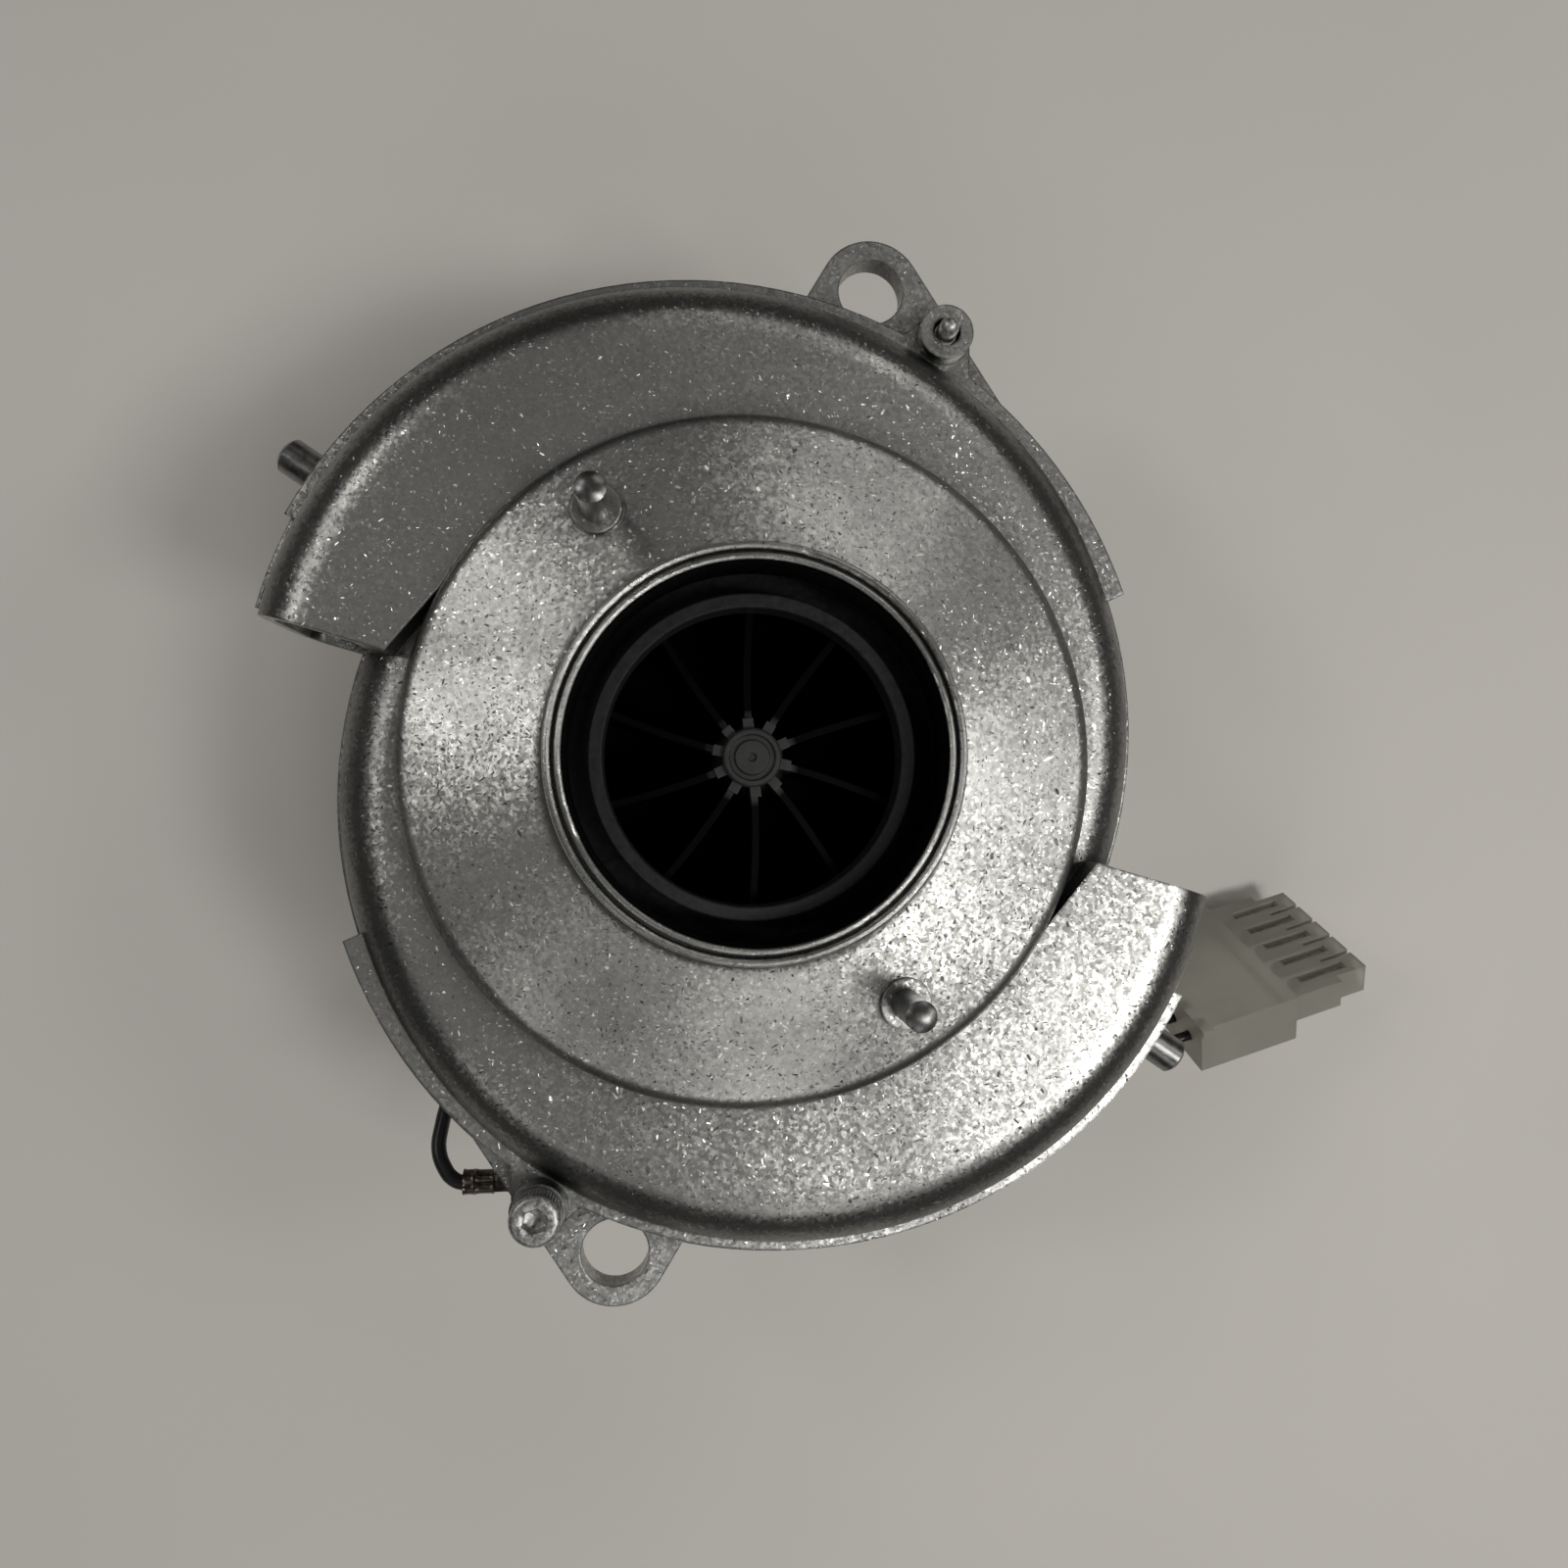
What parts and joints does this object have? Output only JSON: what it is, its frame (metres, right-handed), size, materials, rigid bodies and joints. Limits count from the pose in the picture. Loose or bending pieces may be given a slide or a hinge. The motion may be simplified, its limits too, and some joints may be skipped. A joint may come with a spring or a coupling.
{
  "type": "vacuum fan motor",
  "caption": "Die-cast radial blower: volute casing with opposed tangential outlets and a beaded inlet spigot, closed impeller on a brushless motor, mounting ears, dowels and a plugged lead",
  "frame": {"origin": "centre of the motor's base, on the fan axis", "axes": "+Z along the fan axis out of the inlet, +Y towards the upper mounting ear, +X to the right in the picture, towards the plug"},
  "size_m": [0.1842, 0.1534, 0.089],
  "materials": {
    "cast_aluminium": "die-cast and tumbled, mottled satin",
    "pin_steel": "ground, dull bright",
    "screw_steel": "zinc plated",
    "crimp_brass": "tinned, dulled",
    "impeller_black": "matt moulded",
    "shaft_steel": "ground",
    "bearing_steel": "polished",
    "can_steel": "zinc plated, drawn",
    "cap_aluminium": "die-cast, satin",
    "core_steel": "stacked sheet",
    "insulator_ivory": "moulded",
    "winding_copper": "enamelled wire",
    "magnet_ferrite": "sintered, dull",
    "board_green": "solder resist",
    "component_black": "moulded",
    "grommet_rubber": "moulded",
    "plug_natural": "natural translucent nylon",
    "contact_tin": "tinned",
    "wire_black": "smooth insulation"
  },
  "bodies": {
    "housing": {"scroll_cover": "cast_aluminium", "scroll_housing": "cast_aluminium", "locating_dowels": "pin_steel", "side_pins": "pin_steel", "front_casing_screw": "screw_steel", "rear_casing_screw": "screw_steel", "earth_washer": "screw_steel", "earth_nut": "screw_steel", "can_screws": "screw_steel", "end_cap_screws": "screw_steel", "board_screws": "screw_steel", "earth_terminal": "crimp_brass", "preload_spring": "shaft_steel", "front_bearing_outer": "bearing_steel", "rear_bearing_outer": "bearing_steel", "motor_can": "can_steel", "end_cap": "cap_aluminium", "stator_core": "core_steel", "slot_insulators": "insulator_ivory", "stator_coils": "winding_copper", "circuit_board": "board_green", "board_components": "component_black", "lead_grommet": "grommet_rubber", "earth_bush": "grommet_rubber", "plug_housing": "plug_natural", "plug_contacts": "contact_tin", "motor_wire_1": "wire_black", "motor_wire_2": "wire_black", "motor_wire_3": "wire_black", "motor_wire_4": "wire_black", "motor_wire_5": "wire_black", "earth_lead": "wire_black"},
    "rotor": {"impeller_disc": "impeller_black", "impeller_shroud": "impeller_black", "shaft": "shaft_steel", "shaft_sleeves": "shaft_steel", "front_bearing_inner": "bearing_steel", "rear_bearing_inner": "bearing_steel", "rotor_core": "core_steel", "magnet_ring": "magnet_ferrite"},
    "bearing_balls": {"front_bearing_balls": "bearing_steel", "rear_bearing_balls": "bearing_steel"}
  },
  "joints": [
    {"name": "rotor_spin", "type": "hinge", "parent": "housing", "child": "rotor", "pos_m": [0, 0, 0.049], "axis": [0, 0, 1], "continuous": true},
    {"name": "ball_orbit", "type": "hinge", "parent": "housing", "child": "bearing_balls", "pos_m": [0, 0, 0.049], "axis": [0, 0, 1], "continuous": true}
  ],
  "couplings": [
    {"joint": "ball_orbit", "follows": "rotor_spin", "ratio": 0.35714}
  ]
}
